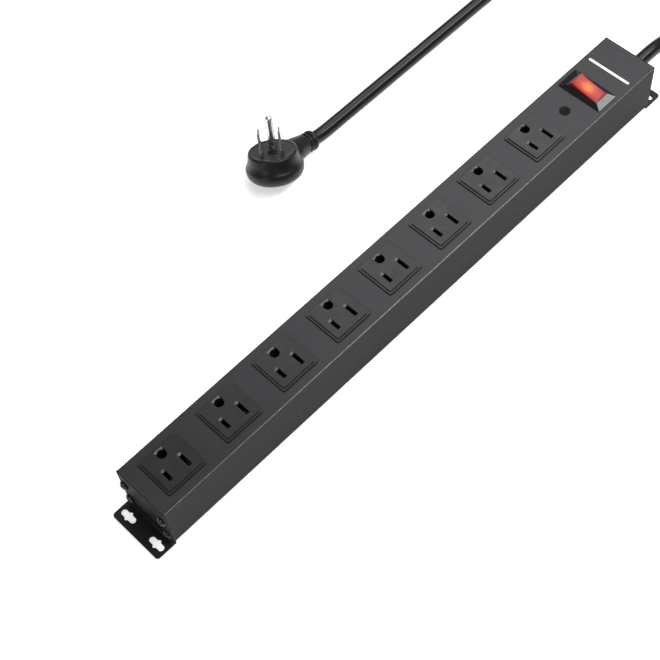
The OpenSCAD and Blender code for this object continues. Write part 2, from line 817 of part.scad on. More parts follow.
module hot_wire() {
    color("black") wire_run(concat(cord_core(-2.3, 17.6), [
        [far_x - 28, -2.3, wire_low_z], [switch_x, switch_tab_y, wire_low_z],
        [switch_x, switch_tab_y, 7.9]
    ]));
}

module neutral_wire() {
    color("white") wire_run(concat(cord_core(2.3, 17.6), [
        [far_x - 24, 3.4, 8.6], [bus_end + 3.5, 3.4, 8.6], [bus_end - 2.2, 2.3, 11],
        [bus_end - 2.2, 2.3, bus_z - 0.1]
    ]));
}

module ground_wire() {
    color("green") wire_run(concat(cord_core(0, 21.9), [
        [far_x - 25, 11.2, 19], [far_x - 31, 11.2, 12.2], [bus_end + 2.5, 11.2, 12.2],
        [bus_end - 1.6, 12.4, 12.8], [bus_end - 1.6, 12.4, bus_z - 0.1]
    ]));
}

module switch_wire() {
    color("black") wire_run([
        [switch_x, 0, 7.9], [switch_x, 0, wire_low_z], [breaker_x + 7, 4, wire_low_z],
        [breaker_x, breaker_tab_y, wire_low_z], [breaker_x, breaker_tab_y, 8.9]
    ]);
}

module breaker_wire() {
    color("black") wire_run([
        [breaker_x, -breaker_tab_y, 8.9], [breaker_x, -breaker_tab_y, wire_low_z],
        [breaker_x - 7, -9, wire_low_z], [bus_end - 2, -10.7, 8], [bus_end - 2, -10.7, bus_z - 0.1]
    ]);
}

module lamp_wire() {
    thin_r = 0.9;
    color("white") wire_run([
        [switch_x, -switch_tab_y, 7.9], [switch_x, -switch_tab_y, 5], [breaker_x + 4, -3.6, 6.5],
        [bus_end + 3, -1, 9], [bus_end + 1.5, 1.4, 11.6], [bus_end + 1.5, 1.4, bus_z - 0.1]
    ], thin_r);
}

// ---------------------------------------------------------------- plug

// The plug lies on its back edge beside the strip, leaning, with its neck dipping to the floor
module plug_pose() {
    translate([plug_x, plug_y, plug_z]) rotate([0, plug_dip, 0]) rotate([-plug_roll, 0, 0])
        children();
}

// Prong frame: X along the line of the blades, Y towards the ground pin
module prong_frame() {
    rotate([0, 0, prong_angle - 90]) translate([0, prong_v, 0]) children();
}

module plug_core_shape(grow = 0) {
    core = [19, 20];
    prong_frame() translate([0, -prong_v, 0])
        slab([core.x + 2 * grow, core.y + 2 * grow], -5 - grow, 4 + grow);
}

// Holes for the three prongs
module prong_holes(gap) {
    prong_frame() {
        for (s = [-1, 1]) translate([s * blade_spacing / 2, 0, 0])
            slab([blade.x + 2 * gap, blade.y + 2 * gap], prong_root - gap, 20);
        translate([0, ground_offset, prong_root - gap]) cylinder(h = 23, r = pin_root_r + gap);
    }
}

// Half outline of the round body: a wide foot, a short slope and a narrower drum under the face
module plug_outline() {
    rim_r = 1.3;
    drum_r = plug_face_r + 0.6;
    slope_z = [-1.5, 1.5];
    translate([0, plug_back]) square([plug_r - plug_back_r, plug_back_r]);
    translate([plug_r - plug_back_r, plug_back + plug_back_r]) circle(plug_back_r);
    translate([0, plug_back + plug_back_r]) square([plug_r, slope_z[0] - plug_back - plug_back_r]);
    polygon([
        [0, slope_z[0]], [plug_r, slope_z[0]], [drum_r, slope_z[1]],
        [plug_face_r, plug_face - rim_r], [0, plug_face - rim_r]
    ]);
    translate([plug_face_r - rim_r, plug_face - rim_r]) circle(rim_r);
    translate([0, slope_z[1]]) square([plug_face_r - rim_r, plug_face - slope_z[1]]);
}

module plug_body() {
    neck_r = [8.2, 6.6];
    neck_start = 10;
    groove_r = 0.9;
    color([0.09, 0.09, 0.09]) plug_pose() difference() {
        union() {
            rotate_extrude() plug_outline();
            translate([neck_start, 0, 0]) rotate([0, 90, 0])
                cylinder(h = neck_len - neck_start, r1 = neck_r[0], r2 = neck_r[1]);
        }
        // grip grooves round the end of the neck
        for (x = [neck_len - 7, neck_len - 4]) translate([x, 0, 0]) rotate([0, 90, 0])
            rotate_extrude() translate([neck_r[1] + 0.6, 0]) circle(groove_r);
        translate([cord_root - 0.1, 0, 0]) rotate([0, 90, 0])
            cylinder(h = 40, r = cord_r * bend_swell + 0.05);
        plug_core_shape(0.05);
        prong_holes(0.05);
    }
}

module plug_core() {
    color("whitesmoke") plug_pose() difference() {
        plug_core_shape();
        prong_holes(0.05);
    }
}

// Flat blade with a bevelled tip
module plug_blade(side) {
    bevel = 1.6;
    tip_half = [0.35, blade.y / 2 - 0.8];
    tip = plug_face + blade_len;
    color("silver") plug_pose() prong_frame() translate([side * blade_spacing / 2, 0, 0])
        intersection() {
            along_y(-blade.y / 2, blade.y / 2) polygon([
                [-blade.x / 2, prong_root], [blade.x / 2, prong_root], [blade.x / 2, tip - bevel],
                [tip_half.x, tip], [-tip_half.x, tip], [-blade.x / 2, tip - bevel]
            ]);
            along_x(-blade.x / 2, blade.x / 2) polygon([
                [-blade.y / 2, prong_root], [blade.y / 2, prong_root], [blade.y / 2, tip - bevel],
                [tip_half.y, tip], [-tip_half.y, tip], [-blade.y / 2, tip - bevel]
            ]);
        }
}

module plug_hot_blade() plug_blade(1);
module plug_neutral_blade() plug_blade(-1);

// Round pin with a ball tip, and a slightly thicker root that ends just above the face
module plug_ground_pin() {
    root_top = plug_face + pin_root_h;
    color("silver") plug_pose() prong_frame() translate([0, ground_offset, 0]) {
        translate([0, 0, prong_root]) cylinder(h = root_top - prong_root, r = pin_root_r);
        translate([0, 0, root_top]) cylinder(h = pin_len - pin_root_h - pin_r, r = pin_r);
        translate([0, 0, plug_face + pin_len - pin_r]) sphere(pin_r);
    }
}

upper_extrusion();
lower_extrusion();
near_end_bracket();
far_end_bracket();
near_end_screws();
far_end_screws();
outlet_1();
outlet_2();
outlet_3();
outlet_4();
outlet_5();
outlet_6();
outlet_7();
outlet_8();
bus_carrier();
hot_bus();
neutral_bus();
ground_bus();
bond_strap();
bond_screw();
switch_housing();
switch_rocker();
switch_lamp();
switch_plunger();
switch_spring();
switch_contact_arm();
switch_line_terminal();
switch_load_terminal();
switch_lamp_terminal();
breaker_housing();
reset_button();
button_spring();
breaker_bimetal();
breaker_terminals();
strain_relief();
power_cord();
hot_wire();
neutral_wire();
ground_wire();
switch_wire();
breaker_wire();
lamp_wire();
plug_body();
plug_core();
plug_hot_blade();
plug_neutral_blade();
plug_ground_pin();
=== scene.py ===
import json
import math

import bmesh
import bpy
from mathutils import Matrix, Vector


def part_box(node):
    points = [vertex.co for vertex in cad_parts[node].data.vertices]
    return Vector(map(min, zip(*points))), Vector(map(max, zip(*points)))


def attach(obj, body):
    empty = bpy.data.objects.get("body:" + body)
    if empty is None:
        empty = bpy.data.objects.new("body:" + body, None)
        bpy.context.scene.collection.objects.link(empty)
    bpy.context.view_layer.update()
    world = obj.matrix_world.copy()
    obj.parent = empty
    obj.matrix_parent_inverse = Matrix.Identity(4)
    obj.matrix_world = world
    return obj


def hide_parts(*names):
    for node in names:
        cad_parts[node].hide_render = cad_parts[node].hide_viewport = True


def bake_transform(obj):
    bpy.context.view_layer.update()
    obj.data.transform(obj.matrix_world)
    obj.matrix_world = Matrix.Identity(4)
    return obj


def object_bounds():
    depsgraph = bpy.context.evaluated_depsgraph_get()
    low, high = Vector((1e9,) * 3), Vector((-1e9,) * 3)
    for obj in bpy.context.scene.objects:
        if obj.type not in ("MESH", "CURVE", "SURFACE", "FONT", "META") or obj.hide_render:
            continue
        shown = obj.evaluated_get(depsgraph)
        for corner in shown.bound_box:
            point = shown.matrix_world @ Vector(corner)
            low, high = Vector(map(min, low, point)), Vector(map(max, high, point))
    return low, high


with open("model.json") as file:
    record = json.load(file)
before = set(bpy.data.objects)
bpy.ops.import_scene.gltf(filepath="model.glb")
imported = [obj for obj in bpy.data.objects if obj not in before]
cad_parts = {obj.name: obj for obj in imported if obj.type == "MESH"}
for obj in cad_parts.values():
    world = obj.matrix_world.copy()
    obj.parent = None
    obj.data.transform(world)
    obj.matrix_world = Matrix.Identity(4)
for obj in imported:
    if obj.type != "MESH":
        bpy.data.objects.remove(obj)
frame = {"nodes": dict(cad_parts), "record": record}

cad_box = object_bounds()
nodes = frame["nodes"]
MM = 0.001
STRIP = "strip"


# ---------------------------------------------------------------- node helpers

class Shader:
    """A material under construction: short names for the node types used here."""

    def __init__(self, name):
        self.material = bpy.data.materials.new(name)
        self.material.use_nodes = True
        self.tree = self.material.node_tree
        self.tree.nodes.clear()
        self.output = self.tree.nodes.new("ShaderNodeOutputMaterial")
        self.surface = self.tree.nodes.new("ShaderNodeBsdfPrincipled")
        self.link(self.surface.outputs["BSDF"], self.output.inputs["Surface"])
        self.place = self.tree.nodes.new("ShaderNodeTexCoord").outputs["Object"]

    def link(self, source, target):
        """Joins an output socket to an input socket."""
        self.tree.links.new(source, target)

    def put(self, target, value):
        """Links a socket, or sets a plain value."""
        if isinstance(value, bpy.types.NodeSocket):
            self.link(value, target)
        else:
            target.default_value = value

    def stretched(self, scale):
        """Object coordinates stretched by three factors."""
        node = self.tree.nodes.new("ShaderNodeMapping")
        self.link(self.place, node.inputs["Vector"])
        node.inputs["Scale"].default_value = scale
        return node.outputs["Vector"]

    def noise(self, scale, detail=3.0, rough=0.55, vector=None):
        """Fractal noise from 0 to 1. scale is in cells per metre of the object."""
        node = self.tree.nodes.new("ShaderNodeTexNoise")
        self.link(vector or self.place, node.inputs["Vector"])
        node.inputs["Scale"].default_value = scale
        node.inputs["Detail"].default_value = detail
        node.inputs["Roughness"].default_value = rough
        return node.outputs["Fac"]

    def span(self, source, low, high, to_low, to_high):
        """Maps a range to another, with both ends held."""
        node = self.tree.nodes.new("ShaderNodeMapRange")
        self.link(source, node.inputs["Value"])
        node.inputs["From Min"].default_value = low
        node.inputs["From Max"].default_value = high
        node.inputs["To Min"].default_value = to_low
        node.inputs["To Max"].default_value = to_high
        return node.outputs["Result"]

    def math(self, kind, a, b=0.0):
        """One operation on one or two values."""
        node = self.tree.nodes.new("ShaderNodeMath")
        node.operation = kind
        self.put(node.inputs[0], a)
        self.put(node.inputs[1], b)
        return node.outputs["Value"]

    def mix(self, share, a, b):
        """Colour a at share 0, colour b at share 1."""
        node = self.tree.nodes.new("ShaderNodeMix")
        node.data_type = "RGBA"
        self.put(node.inputs["Factor"], share)
        self.put(node.inputs["A"], a)
        self.put(node.inputs["B"], b)
        return node.outputs["Result"]

    def ramp(self, source, stops):
        """Colour by value, from (value, colour) stops."""
        node = self.tree.nodes.new("ShaderNodeValToRGB")
        self.link(source, node.inputs["Fac"])
        elements = node.color_ramp.elements
        while len(elements) < len(stops):
            elements.new(0.5)
        for element, (at, colour) in zip(elements, stops):
            element.position = at
            element.color = colour
        return node.outputs["Color"]

    def bump(self, height, distance, strength=1.0, under=None):
        """Bump of a real depth in metres."""
        node = self.tree.nodes.new("ShaderNodeBump")
        self.link(height, node.inputs["Height"])
        node.inputs["Distance"].default_value = distance
        node.inputs["Strength"].default_value = strength
        if under is not None:
            self.link(under, node.inputs["Normal"])
        return node.outputs["Normal"]

    def edges(self, radius, low=0.02, high=0.25):
        """1 on sharp edges, 0 on flat ground: where the rounded normal leaves the true one."""
        bevel = self.tree.nodes.new("ShaderNodeBevel")
        bevel.samples = 4
        bevel.inputs["Radius"].default_value = radius
        geometry = self.tree.nodes.new("ShaderNodeNewGeometry")
        same = self.vector("DOT_PRODUCT", bevel.outputs["Normal"], geometry.outputs["Normal"])
        return self.span(self.math("SUBTRACT", 1.0, same), low, high, 0.0, 1.0)

    def vector(self, kind, a, b=None):
        """One operation on one or two vectors."""
        node = self.tree.nodes.new("ShaderNodeVectorMath")
        node.operation = kind
        self.put(node.inputs[0], a)
        if b is not None:
            self.put(node.inputs[1], b)
        return node.outputs["Value" if kind in ("DISTANCE", "DOT_PRODUCT") else "Vector"]

    def facing(self):
        """The surface's normal, in the object's axes, as three sockets."""
        normal = self.tree.nodes.new("ShaderNodeTexCoord").outputs["Normal"]
        parts = self.tree.nodes.new("ShaderNodeSeparateXYZ")
        self.link(normal, parts.inputs["Vector"])
        return parts.outputs

    def corners(self):
        """1 on the rounded long edges of the top, 0 on the flat sides; the wear and a painted highlight go
        there.
        """
        _, y, z = self.facing()
        both = self.math("MULTIPLY", self.math("ABSOLUTE", y), self.math("MAXIMUM", z, 0.0))
        return self.span(both, 0.15, 0.45, 0.0, 1.0)

    def openness(self, distance):
        """1 in the open, lower in corners, gaps and recesses: the mask for painted shade."""
        node = self.tree.nodes.new("ShaderNodeAmbientOcclusion")
        node.samples = 6
        node.inputs["Distance"].default_value = distance
        return node.outputs["AO"]

    def slant(self):
        """0 where the surface faces the viewer, 1 where it is seen edge-on."""
        node = self.tree.nodes.new("ShaderNodeLayerWeight")
        node.inputs["Blend"].default_value = 0.5
        return node.outputs["Facing"]

    def finish(self, colour, roughness, normal=None, **extra):
        """Sets the surface's inputs and returns the material. extra names use _ for a space."""
        self.put(self.surface.inputs["Base Color"], colour)
        self.put(self.surface.inputs["Roughness"], roughness)
        if normal is not None:
            self.link(normal, self.surface.inputs["Normal"])
        for key, value in extra.items():
            self.put(self.surface.inputs[key.replace("_", " ")], value)
        return self.material


def violet_grey(level):
    """The casing's faintly violet grey."""
    return (level, level * 0.97, level * 1.03, 1)


def grey(level, tint=0.0):
    """A neutral colour, with a little blue for a positive tint."""
    return (level, level, level * (1 + tint), 1)


# ---------------------------------------------------------------- materials

def coated_metal(name, level, rough, grain, edge_wear_and_highlight, metallic, fade):
    """Satin coated metal: fine grain, faint draw lines along X, edges paler from wear and a painted
    highlight, gaps darkened with painted shade.
    fade is the reflection's strength where the surface is seen edge-on."""
    s = Shader(name)
    cloud = s.noise(28, 4)
    lines = s.noise(1, 2, vector=s.stretched((14, 2600, 2600)))
    speck = s.noise(grain, 2, 0.6)
    tone = s.math("ADD", s.math("MULTIPLY", cloud, 0.7), s.math("MULTIPLY", lines, 0.3))
    colour = s.mix(s.span(tone, 0.3, 0.7, 0, 1), violet_grey(level * 0.9), violet_grey(level * 1.1))
    patchy = s.span(s.noise(420, 4), 0.35, 0.65, 0.45, 1)
    # edges made paler: partly wear, partly a painted highlight, strongest on the top's long edges
    pale_edges = s.math("MULTIPLY", s.math("MAXIMUM", s.edges(0.3 * MM), s.corners()), patchy)
    colour = s.mix(s.math("MULTIPLY", pale_edges, edge_wear_and_highlight), colour, grey(0.4))
    # painted shade: colour darkened in gaps and where the surface meets other parts, such as the foot of
    # the outlet bezels
    painted_gap_shade = s.span(s.openness(1.8 * MM), 0.45, 0.92, 0.9, 0)
    colour = s.mix(painted_gap_shade, colour, grey(level * 0.15))
    dull = s.math("ADD", cloud, s.math("MULTIPLY", speck, 0.5))
    roughness = s.span(dull, 0.4, 1.1, rough - 0.05, rough + 0.07)
    normal = s.bump(speck, 0.01 * MM, 0.4, s.bump(lines, 0.003 * MM, 0.5))
    return s.finish(colour, roughness, normal,
        Metallic=metallic, Specular_IOR_Level=0.2, Specular_Tint=grey(fade))


def moulded_plastic(name, level, rough, texture=5200, tint=0.02, shine=0.3):
    """Moulded plastic: fine eroded texture, edges rubbed paler, recesses darkened and dulled with painted
    shade.
    """
    s = Shader(name)
    cloud = s.noise(60, 3)
    speck = s.noise(texture, 2, 0.6)
    colour = s.mix(s.span(cloud, 0.3, 0.7, 0, 1), grey(level * 0.9, tint), grey(level * 1.1, tint))
    pale_edges = s.math("MULTIPLY", s.edges(0.25 * MM), 0.35)
    colour = s.mix(pale_edges, colour, grey(level * 3))
    # painted shade: recesses and corners darkened, and their reflection weakened
    clear = s.span(s.openness(0.9 * MM), 0.3, 0.75, 0.1, 1)
    colour = s.mix(clear, grey(level * 0.1), colour)
    roughness = s.span(s.noise(140, 4), 0.3, 0.7, rough - 0.07, rough + 0.07)
    gloss = s.math("MULTIPLY", clear, shine)
    return s.finish(colour, roughness, s.bump(speck, 0.01 * MM, 0.6), Specular_IOR_Level=gloss)


def polished_plastic(name, level, rough):
    """Glossy moulding: soft waviness, hairline scratches and faint finger haze."""
    s = Shader(name)
    haze = s.noise(90, 4)
    hair = s.noise(1, 3, vector=s.stretched((5200, 260, 900)))
    colour = s.mix(s.span(haze, 0.35, 0.65, 0, 1), grey(level * 0.85), grey(level * 1.15))
    roughness = s.math("ADD", s.span(haze, 0.35, 0.7, rough, rough + 0.1), s.span(hair, 0.6, 0.8, 0, 0.12))
    normal = s.bump(s.noise(260, 2), 0.02 * MM, 0.3, s.bump(hair, 0.002 * MM))
    return s.finish(colour, roughness, normal, Specular_IOR_Level=0.36)


def flexible_vinyl(name, level, rough, along=(30, 1, 1), shine=0.35, hue=(1, 1, 1)):
    """Cord, plug and wire vinyl: soft sheen, slight flow marks and fine pores.
    hue multiplies the grey level in red, green and blue."""
    def tone(share):
        return (*(level * share * part for part in hue), 1)

    s = Shader(name)
    flow = s.noise(120, 3, vector=s.stretched(along))
    pore = s.noise(3600, 2)
    colour = s.mix(s.span(flow, 0.3, 0.7, 0, 1), tone(0.85), tone(1.2))
    dust = s.span(s.noise(700, 5, 0.7), 0.62, 0.8, 0, 0.25)
    colour = s.mix(dust, colour, tone(2.2))
    # painted shade: recesses darkened towards a fifth of the tone, and their reflection weakened
    clear = s.span(s.openness(1.5 * MM), 0.4, 0.9, 0.1, 1)
    roughness = s.span(s.noise(160, 3), 0.3, 0.7, rough - 0.06, rough + 0.08)
    normal = s.bump(pore, 0.012 * MM, 0.5, s.bump(flow, 0.03 * MM, 0.5))
    gloss = s.math("MULTIPLY", clear, shine)
    return s.finish(s.mix(clear, tone(0.2), colour), roughness, normal, Specular_IOR_Level=gloss)


def bright_metal(name, colour_a, colour_b, rough, lines=(3000, 3000, 90), slant_painted_dark=0.0):
    """Plated or plain metal: fine drawing lines and dull patches.
    The last argument is how far the surfaces seen at a slant are painted dark, a painted dark reflection."""
    s = Shader(name)
    hair = s.noise(1, 3, vector=s.stretched(lines))
    patch = s.noise(220, 4)
    colour = s.mix(s.span(patch, 0.35, 0.65, 0, 1), colour_a, colour_b)
    # painted reflection: surfaces seen at a slant painted dark
    colour = s.mix(s.span(s.slant(), 0.25, 0.7, 0, slant_painted_dark), colour, grey(0.03))
    roughness = s.span(s.math("ADD", hair, patch), 0.6, 1.4, rough * 0.7, rough * 1.4)
    return s.finish(colour, roughness, s.bump(hair, 0.006 * MM, 0.6), Metallic=1.0)


GLOW_REACH = 11 * MM
# from over the lamp to the rocker's ends
GLOW_COLOURS = [
    (0.0, (1.0, 0.42, 0.05, 1)),
    (0.2, (1.0, 0.27, 0.03, 1)),
    (0.4, (0.7, 0.08, 0.03, 1)),
    (0.6, (0.48, 0.05, 0.04, 1)),
    (1.0, (0.42, 0.05, 0.045, 1)),
]


def lit_rocker(name, centre):
    """Translucent red plastic with a lamp glowing behind its middle."""
    s = Shader(name)
    flat = s.vector("MULTIPLY", s.place, (1, 0.8, 0))
    away = s.vector("DISTANCE", flat, (centre.x, centre.y * 0.8, 0))
    reach = s.math("ADD", away, s.math("MULTIPLY", s.noise(900, 3), 0.8 * MM))
    light = s.ramp(s.span(reach, 0, GLOW_REACH, 0, 1), GLOW_COLOURS)
    upward = s.span(s.facing()[2], 0.2, 0.9, 0.12, 1)
    strength = s.math("MULTIPLY", s.span(reach, 0, 9 * MM, 0.8, 0.36), upward)
    roughness = s.span(s.noise(200, 3), 0.3, 0.7, 0.14, 0.3)
    normal = s.bump(s.noise(1500, 2), 0.012 * MM, 0.4)
    return s.finish((0.2, 0.015, 0.014, 1), roughness, normal, Specular_IOR_Level=0.3,
        Emission_Color=light, Emission_Strength=strength)


def white_ink(name):
    """Screen-printed white with slightly uneven cover."""
    s = Shader(name)
    cover = s.noise(2600, 4, 0.7)
    colour = s.mix(s.span(cover, 0.3, 0.6, 0, 1), grey(0.62), grey(0.85))
    return s.finish(colour, s.span(cover, 0.3, 0.7, 0.4, 0.6), s.bump(cover, 0.01 * MM, 0.5))


# the bright and the dull tone of each coloured metal
BRASS = ((0.78, 0.55, 0.24, 1), (0.66, 0.45, 0.2, 1))
COPPER = ((0.76, 0.4, 0.25, 1), (0.6, 0.3, 0.2, 1))
GREEN_STEEL = ((0.1, 0.35, 0.14, 1), (0.07, 0.26, 0.1, 1))
INSULATION_GREEN = (0.3, 1.7, 0.6)
rocker_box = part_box("switch_rocker")
MATERIALS = {
    "casing": coated_metal("satin_casing", 0.045, 0.42, 2600, 0.65, 0.75, 0.38),
    "bracket": coated_metal("powder_coated_steel", 0.03, 0.45, 1500, 0.2, 0.6, 0.15),
    "screw": bright_metal("black_zinc", grey(0.025), grey(0.045), 0.2, (900, 900, 900), 0.9),
    "outlet": moulded_plastic("outlet_plastic", 0.0175, 0.31, tint=0.12, shine=0.27),
    "nylon": moulded_plastic("black_nylon", 0.004, 0.5, 4200, shine=0.1),
    "insulator": moulded_plastic("pale_insulator", 0.62, 0.5, 3600, -0.08),
    "brass": bright_metal("spring_brass", *BRASS, 0.3, (60, 3000, 3000)),
    "copper": bright_metal("contact_copper", *COPPER, 0.3),
    "ground_screw": bright_metal("green_steel", *GREEN_STEEL, 0.35),
    "switch_black": polished_plastic("switch_gloss_black", 0.005, 0.08),
    "rocker_red": lit_rocker("lit_red_rocker", (rocker_box[0] + rocker_box[1]) / 2),
    "lamp_glass": polished_plastic("lamp_glass", 0.6, 0.08),
    "spring_steel": bright_metal("spring_steel", grey(0.55), grey(0.42), 0.28),
    "cord": flexible_vinyl("cord_vinyl", 0.006, 0.22, (0.12, 1, 1), 0.25),
    "wire_black": flexible_vinyl("black_insulation", 0.02, 0.4),
    "wire_white": flexible_vinyl("white_insulation", 0.6, 0.4),
    "wire_green": flexible_vinyl("green_insulation", 0.15, 0.4, hue=INSULATION_GREEN),
    "plug": flexible_vinyl("plug_vinyl", 0.007, 0.34, (1, 1, 1), 0.27),
    "blade_metal": bright_metal("nickel_plate", grey(0.8), grey(0.68), 0.2, (2400, 2400, 60), 0.72),
}


def dress_cad_nodes():
    """Gives every CAD node the material of its slot."""
    for part in frame["record"]["subparts"]:
        thing = nodes[part["node"]]
        material = MATERIALS[part["material_slot"]]
        thing.data.materials.clear()
        thing.data.materials.append(material)


def soften(node, width, segments=2, angle=35):
    """Rounds the sharp edges of a CAD node's shape with modifiers."""
    thing = nodes[node]
    weld = thing.modifiers.new("weld", "WELD")
    weld.merge_threshold = 0.002 * MM
    bevel = thing.modifiers.new("round_edges", "BEVEL")
    bevel.width = width
    bevel.segments = segments
    bevel.limit_method = "ANGLE"
    bevel.angle_limit = math.radians(angle)
    bevel.harden_normals = True


def add_mesh(name, build, slot, body=STRIP, crease=32):
    """Makes a piece from a bmesh builder. It rides on body, unless that is None."""
    bm = bmesh.new()
    build(bm)
    bmesh.ops.recalc_face_normals(bm, faces=bm.faces)
    mesh = bpy.data.meshes.new(name)
    bm.to_mesh(mesh)
    bm.free()
    mesh.shade_smooth()
    mesh.set_sharp_from_angle(angle=math.radians(crease))
    mesh.materials.append(MATERIALS[slot])
    piece = bpy.data.objects.new(name, mesh)
    bpy.context.scene.collection.objects.link(piece)
    if body:
        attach(piece, body)
    return piece


# ---------------------------------------------------------------- cord

# the plug, in millimetres on its own axes
PIN_OFFSET = 11.9           # ground pin to the blades' line
PRONG_LINE = -6.0           # the blades' line, from the plug's axis
PIN_ROOT = 0.5              # the pin mount starts this far above the face
PRONG_TURN = math.radians(-45)
PLUG_R = 18.5
PLUG_FACE_R = 15.8
PLUG_BACK = -11.0
PLUG_FACE = 8.0
NECK_LEN = 34.0
CORD_R = 4.5 * MM
JOINT_SWELL = 1.02
DROP_R = 60 * MM
FLANGE_LEN = 12.7 * MM
cord_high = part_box("power_cord")[1]
relief_low, relief_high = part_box("strain_relief")
cord_start_x = relief_low.x - 3 * MM
exit_z = (relief_low.z + relief_high.z) / 2
rest_z = CORD_R * JOINT_SWELL
plug_y = cord_high.y - rest_z
far_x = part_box("far_end_bracket")[1].x - FLANGE_LEN


def pin_mount():
    """The record's mount on the plug's ground pin."""
    return next(m for m in frame["record"]["mounts"] if m["name"] == "plug_ground_pin")


def plug_frame():
    """The plug's own axes as a matrix, with its origin on the cord's axis.
    X points out of the neck and Z out of the prong face."""
    mount = pin_mount()
    z = Vector(mount["axis"])
    x = Vector((z.z, 0, -z.x)).normalized()
    y = z.cross(x)
    reach = PIN_OFFSET + PRONG_LINE
    middle = PLUG_FACE + PIN_ROOT + mount["dims"]["length_mm"] / 2
    local = Vector((-math.sin(PRONG_TURN) * reach, math.cos(PRONG_TURN) * reach, middle)) * MM
    axes = Matrix((x, y, z)).transposed()
    origin = Vector(mount["pos_m"]) - axes @ local
    return Matrix.Translation(origin) @ axes.to_4x4()


PLUG = plug_frame()


def arc(centre, u, v, radius, start, end, count):
    """Points on a circle in the plane of u and v, angles in degrees."""
    points = []
    for i in range(count + 1):
        a = math.radians(start + (end - start) * i / count)
        points.append(centre + (u * math.cos(a) + v * math.sin(a)) * radius)
    return points


def cord_path():
    """The cord's axis from inside the casing to inside the plug."""
    x = Vector((1, 0, 0))
    y = Vector((0, 1, 0))
    z = Vector((0, 0, 1))
    drop_angle = math.degrees(math.acos(1 - (exit_z - rest_z) / (2 * DROP_R)))
    drop_x = far_x + 20 * MM
    floor_x = drop_x + 2 * DROP_R * math.sin(math.radians(drop_angle))
    turn_r = plug_y / 2
    turn_x = cord_high.x - CORD_R - turn_r
    neck_end = PLUG @ Vector((NECK_LEN * MM, 0, 0))
    dip = math.atan2(-(PLUG.to_3x3() @ x).z, (PLUG.to_3x3() @ x).x)
    lift_r = (neck_end.z - rest_z) / (1 - math.cos(dip))
    lift_x = neck_end.x + lift_r * math.sin(dip)
    path = [Vector((cord_start_x, 0, exit_z))]
    path += arc(Vector((drop_x, 0, exit_z - DROP_R)), x, z, DROP_R, 90, 90 - drop_angle, 10)
    path += arc(Vector((floor_x, 0, rest_z + DROP_R)), x, z, DROP_R, 270 - drop_angle, 270, 10)[1:]
    path += arc(Vector((turn_x, turn_r, rest_z)), x, y, turn_r, -90, 90, 40)
    path += arc(Vector((lift_x, plug_y, rest_z + lift_r)), x, z, lift_r, 270, 270 - math.degrees(dip), 8)
    path.append(PLUG @ Vector((20 * MM, 0, 0)))
    return path


def resample(path, step):
    """Evenly spaced points along a polyline."""
    lengths = [0.0]
    for a, b in zip(path, path[1:]):
        lengths.append(lengths[-1] + (b - a).length)
    count = int(lengths[-1] / step)
    out = []
    k = 0
    for i in range(count + 1):
        target = lengths[-1] * i / count
        while k < len(path) - 2 and lengths[k + 1] < target:
            k += 1
        share = (target - lengths[k]) / (lengths[k + 1] - lengths[k])
        out.append(path[k].lerp(path[k + 1], share))
    return out


def sweep(bm, path, radius, sides):
    """Tube along a path, closed at both ends. radius is a function of the distance along it."""
    rings = []
    travelled = 0.0
    side = Vector((0, 1, 0))
    for i, point in enumerate(path):
        ahead = path[min(i + 1, len(path) - 1)] - path[max(i - 1, 0)]
        ahead.normalize()
        side = (side - ahead * side.dot(ahead)).normalized()
        up = ahead.cross(side)
        if i:
            travelled += (point - path[i - 1]).length
        r = radius(travelled)
        rings.append([
            bm.verts.new(point + (side * math.cos(a) + up * math.sin(a)) * r)
            for a in round_angles(sides)])
    join_rings(bm, rings)


def round_angles(sides):
    """Evenly spaced angles of a full turn."""
    return [2 * math.pi * k / sides for k in range(sides)]


def join_rings(bm, rings):
    """Faces between rings of the same count, and a cap on each end."""
    for a, b in zip(rings, rings[1:]):
        for k in range(len(a)):
            n = (k + 1) % len(a)
            bm.faces.new((a[k], a[n], b[n], b[k]))
    bm.faces.new(rings[0])
    bm.faces.new(rings[-1])


def build_cord(bm):
    """The cord's jacket, very slightly uneven in thickness."""
    path = resample(cord_path(), 3 * MM)
    sweep(bm, path, lambda s: CORD_R * (1 + 0.006 * math.sin(s / MM / 9.0)), 32)


# ---------------------------------------------------------------- plug

def quarter(centre, radius, start, end, count):
    """Points of a round corner in an outline."""
    return [
        (centre[0] + radius * math.cos(a), centre[1] + radius * math.sin(a))
        for a in (math.radians(start + (end - start) * i / count) for i in range(count + 1))]


def on_plug(x, y, z):
    """A point given in millimetres on the plug's axes."""
    return PLUG @ (Vector((x, y, z)) * MM)


def plug_shell(bm):
    """Round body turned from an outline: wide foot, soft slope, narrower drum and a rolled rim."""
    back_r = 7.0
    rim_r = 1.3
    drum_r = PLUG_FACE_R + 0.6
    slope = 1.5
    outline = quarter((PLUG_R - back_r, PLUG_BACK + back_r), back_r, -90, 0, 10)
    outline += [(PLUG_R, -3.4), (PLUG_R - 0.05, -2.4), (PLUG_R - 0.4, -slope), (PLUG_R - 1.1, -0.5)]
    outline += [(drum_r + 0.6, 0.6), (drum_r + 0.2, slope), (drum_r, 2.6)]
    outline += quarter((PLUG_FACE_R - rim_r, PLUG_FACE - rim_r), rim_r, 5, 90, 6)
    # shallow raised land round the prongs
    outline += [(PLUG_FACE_R - 2.2, PLUG_FACE), (PLUG_FACE_R - 2.4, PLUG_FACE - 0.15)]
    rings = []
    for radius, height in outline:
        rings.append([
            bm.verts.new(on_plug(radius * math.cos(a), radius * math.sin(a), height))
            for a in round_angles(96)])
    join_rings(bm, rings)


